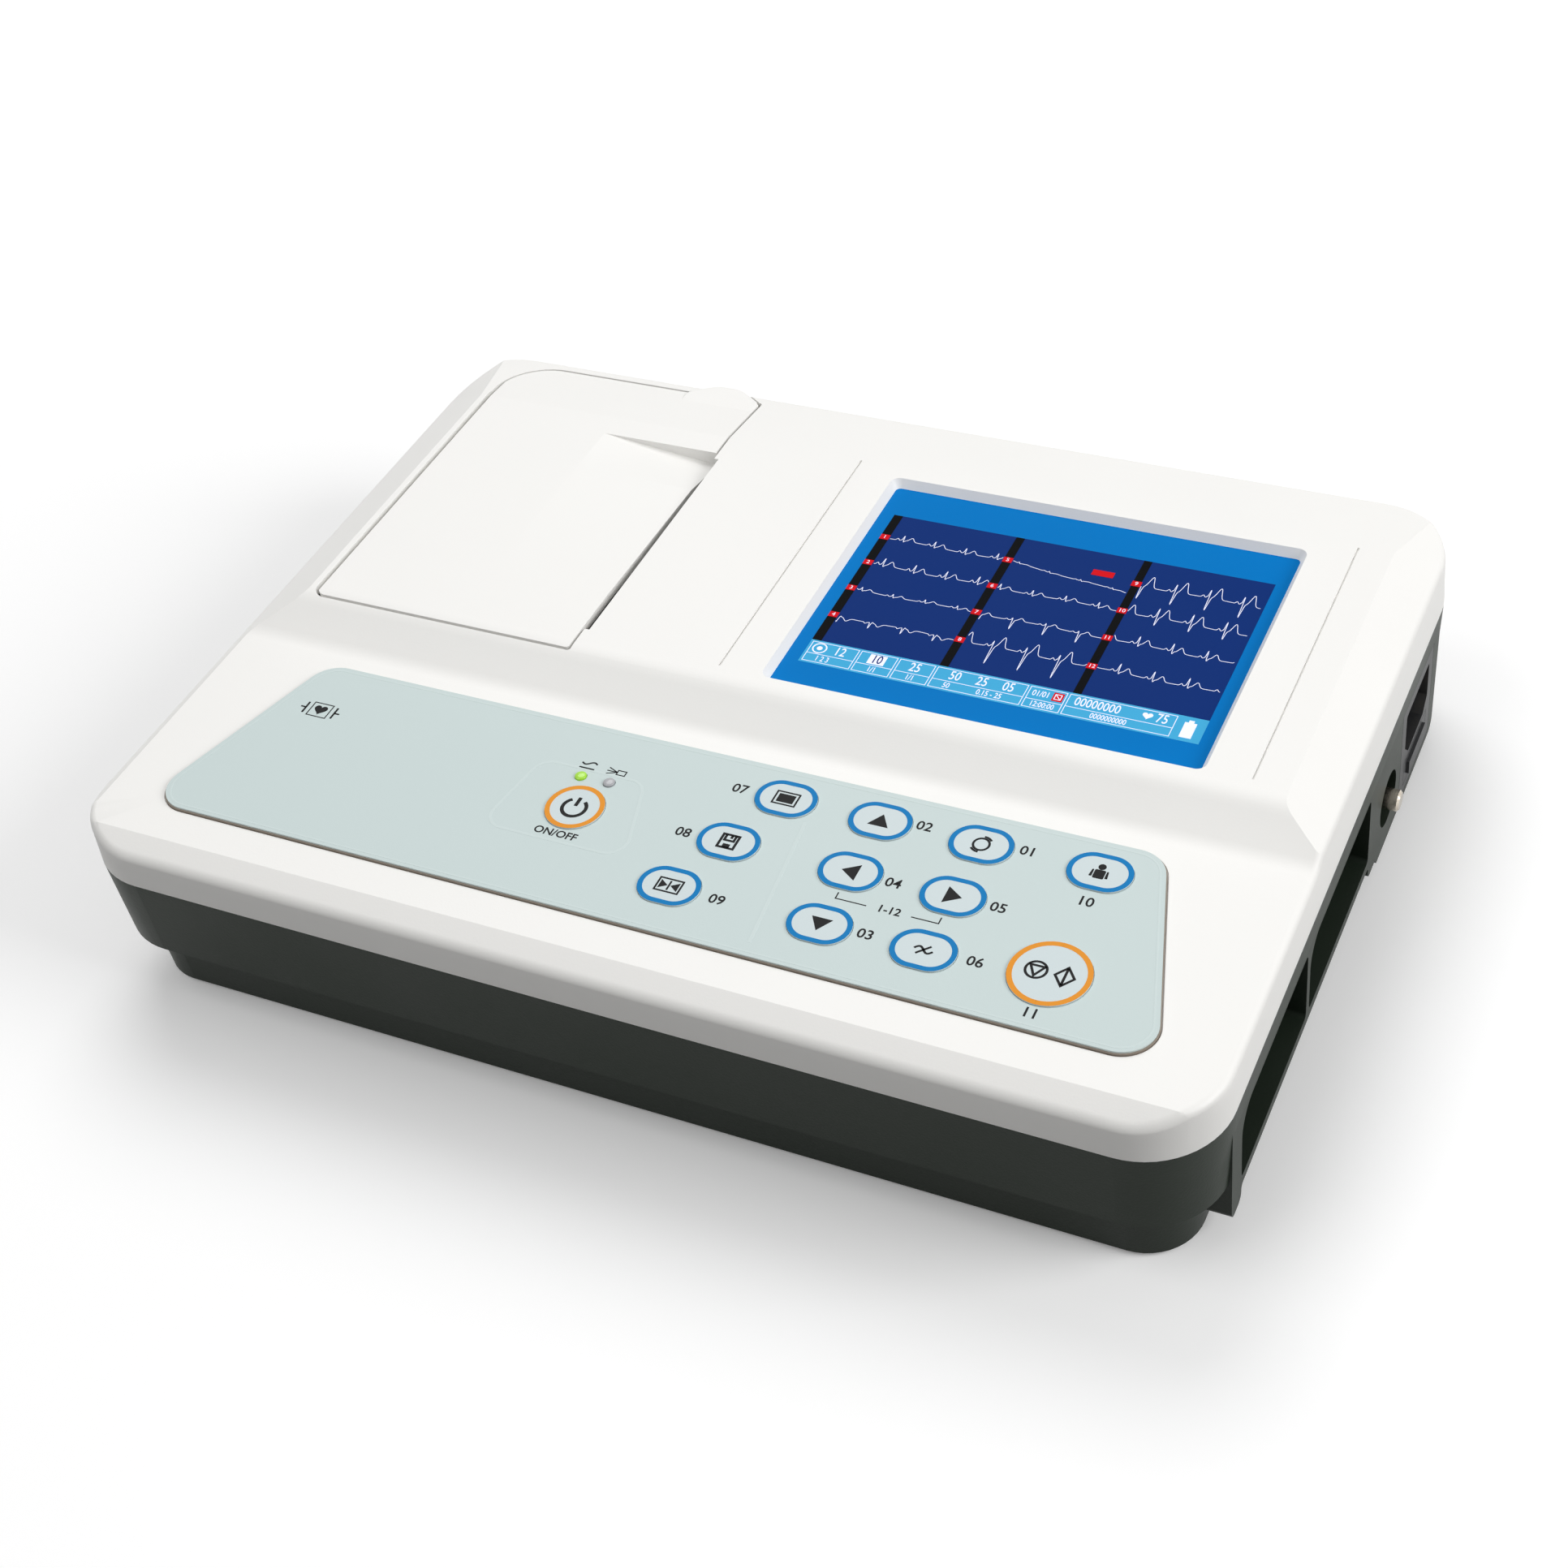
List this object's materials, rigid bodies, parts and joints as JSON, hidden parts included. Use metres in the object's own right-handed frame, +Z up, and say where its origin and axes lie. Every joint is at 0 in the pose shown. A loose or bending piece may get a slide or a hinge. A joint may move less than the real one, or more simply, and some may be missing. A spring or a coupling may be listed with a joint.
{
  "type": "ecg machine",
  "caption": "Portable desktop ECG recorder: white shell on a dark base, hinged paper lid, colour display, membrane keypad and sockets along its right side.",
  "frame": {"origin": "on the table under the middle of the case, level with the undersides of the feet", "axes": "+X to the right along the case's width, +Y to the back, +Z up"},
  "size_m": [0.318, 0.23, 0.0655],
  "materials": {
    "shell_white": "satin",
    "case_grey": "fine grain",
    "foot_rubber": "matt",
    "steel": "bright",
    "nickel": "plated",
    "brass": "plain",
    "aluminium": "plain",
    "ceramic": "glazed",
    "window": "gloss",
    "lcd": "gloss",
    "overlay": "fine satin",
    "backing": "matt",
    "key_face": "fine satin",
    "orange_key": "fine satin",
    "green_lamp": "clear",
    "grey_lamp": "clear",
    "gear_white": "moulded",
    "paper": "smooth",
    "board": "solder mask",
    "black_plastic": "moulded",
    "fuse_glass": "clear"
  },
  "bodies": {
    "case": {"top_case": "shell_white", "bottom_case": "case_grey", "battery_cover": "case_grey", "feet": "foot_rubber", "case_screws": "steel", "board_screws": "steel", "lid_hinge_pins": "steel", "head_pivot_pin": "steel", "head_springs": "steel", "idler_pin": "steel", "printer_chassis": "steel", "lcd_frame": "steel", "key_domes": "steel", "patient_socket": "steel", "serial_socket": "steel", "usb_socket": "steel", "jack_posts": "steel", "drive_motor": "steel", "earth_pin": "nickel", "earth_nut": "nickel", "inlet_pins": "brass", "display_window": "window", "lcd_panel": "lcd", "keypad_overlay": "overlay", "keypad_backing": "backing", "led_mains": "green_lamp", "led_battery": "grey_lamp", "keypad_board": "board", "main_board": "board", "power_board": "board", "board_parts": "black_plastic", "battery_pack": "black_plastic", "buzzer": "black_plastic", "mains_inlet": "black_plastic", "socket_inserts": "black_plastic"},
    "lid": {"paper_lid": "shell_white", "platen_bushes": "brass"},
    "platen": {"platen_roller": "foot_rubber", "platen_shaft": "steel", "platen_gear": "gear_white"},
    "idler": {"idler_gear": "gear_white"},
    "pinion": {"motor_pinion": "gear_white"},
    "roll": {"paper_roll": "paper", "paper_spindle": "gear_white"},
    "head": {"head_plate": "aluminium", "print_head": "ceramic"},
    "drawer": {"fuse_drawer": "black_plastic", "fuses": "fuse_glass"},
    "key_menu_body": {"key_menu": "key_face"},
    "key_file_body": {"key_file": "key_face"},
    "key_freeze_body": {"key_freeze": "key_face"},
    "key_up_body": {"key_up": "key_face"},
    "key_mode_body": {"key_mode": "key_face"},
    "key_left_body": {"key_left": "key_face"},
    "key_right_body": {"key_right": "key_face"},
    "key_down_body": {"key_down": "key_face"},
    "key_filter_body": {"key_filter": "key_face"},
    "key_patient_body": {"key_patient": "key_face"},
    "key_run_body": {"key_run": "orange_key"},
    "key_power_body": {"key_power": "orange_key"}
  },
  "joints": [
    {"name": "lid_hinge", "type": "hinge", "parent": "case", "child": "lid", "pos_m": [-0.1218, 0.036, 0.06], "axis": [0, -1, 0], "range_deg": [0, 85]},
    {"name": "platen_spin", "type": "hinge", "parent": "lid", "child": "platen", "pos_m": [-0.0645, 0.036, 0.0515], "axis": [0, 1, 0], "continuous": true},
    {"name": "idler_spin", "type": "hinge", "parent": "case", "child": "idler", "pos_m": [-0.07119, 0.036, 0.03533], "axis": [0, 1, 0], "continuous": true},
    {"name": "pinion_spin", "type": "hinge", "parent": "case", "child": "pinion", "pos_m": [-0.065, 0.036, 0.022], "axis": [0, 1, 0], "continuous": true},
    {"name": "roll_spin", "type": "hinge", "parent": "case", "child": "roll", "pos_m": [-0.104, 0.036, 0.031], "axis": [0, 1, 0], "continuous": true},
    {"name": "head_pivot", "type": "hinge", "parent": "case", "child": "head", "pos_m": [-0.079, 0.036, 0.04175], "axis": [0, 1, 0], "range_deg": [0, 2], "stiffness_Nm_per_rad": 0.7, "springref_deg": -2.86, "deforming": ["head_springs"]},
    {"name": "fuse_slide", "type": "slide", "parent": "case", "child": "drawer", "axis": [1, 0, 0], "range_m": [0, 0.02]},
    {"name": "menu_press", "type": "slide", "parent": "case", "child": "key_menu_body", "axis": [0, 0, -1], "range_m": [0, 0.00045], "stiffness_N_per_m": 1500, "springref_m": -0.0002},
    {"name": "file_press", "type": "slide", "parent": "case", "child": "key_file_body", "axis": [0, 0, -1], "range_m": [0, 0.00045], "stiffness_N_per_m": 1500, "springref_m": -0.0002},
    {"name": "freeze_press", "type": "slide", "parent": "case", "child": "key_freeze_body", "axis": [0, 0, -1], "range_m": [0, 0.00045], "stiffness_N_per_m": 1500, "springref_m": -0.0002},
    {"name": "up_press", "type": "slide", "parent": "case", "child": "key_up_body", "axis": [0, 0, -1], "range_m": [0, 0.00045], "stiffness_N_per_m": 1500, "springref_m": -0.0002},
    {"name": "mode_press", "type": "slide", "parent": "case", "child": "key_mode_body", "axis": [0, 0, -1], "range_m": [0, 0.00045], "stiffness_N_per_m": 1500, "springref_m": -0.0002},
    {"name": "left_press", "type": "slide", "parent": "case", "child": "key_left_body", "axis": [0, 0, -1], "range_m": [0, 0.00045], "stiffness_N_per_m": 1500, "springref_m": -0.0002},
    {"name": "right_press", "type": "slide", "parent": "case", "child": "key_right_body", "axis": [0, 0, -1], "range_m": [0, 0.00045], "stiffness_N_per_m": 1500, "springref_m": -0.0002},
    {"name": "down_press", "type": "slide", "parent": "case", "child": "key_down_body", "axis": [0, 0, -1], "range_m": [0, 0.00045], "stiffness_N_per_m": 1500, "springref_m": -0.0002},
    {"name": "filter_press", "type": "slide", "parent": "case", "child": "key_filter_body", "axis": [0, 0, -1], "range_m": [0, 0.00045], "stiffness_N_per_m": 1500, "springref_m": -0.0002},
    {"name": "patient_press", "type": "slide", "parent": "case", "child": "key_patient_body", "axis": [0, 0, -1], "range_m": [0, 0.00045], "stiffness_N_per_m": 1500, "springref_m": -0.0002},
    {"name": "run_press", "type": "slide", "parent": "case", "child": "key_run_body", "axis": [0, 0, -1], "range_m": [0, 0.00045], "stiffness_N_per_m": 1500, "springref_m": -0.0002},
    {"name": "power_press", "type": "slide", "parent": "case", "child": "key_power_body", "axis": [0, 0, -1], "range_m": [0, 0.00045], "stiffness_N_per_m": 1500, "springref_m": -0.0002}
  ],
  "couplings": [
    {"joint": "idler_spin", "follows": "platen_spin", "ratio": -0.92308},
    {"joint": "pinion_spin", "follows": "platen_spin", "ratio": 1.5}
  ]
}
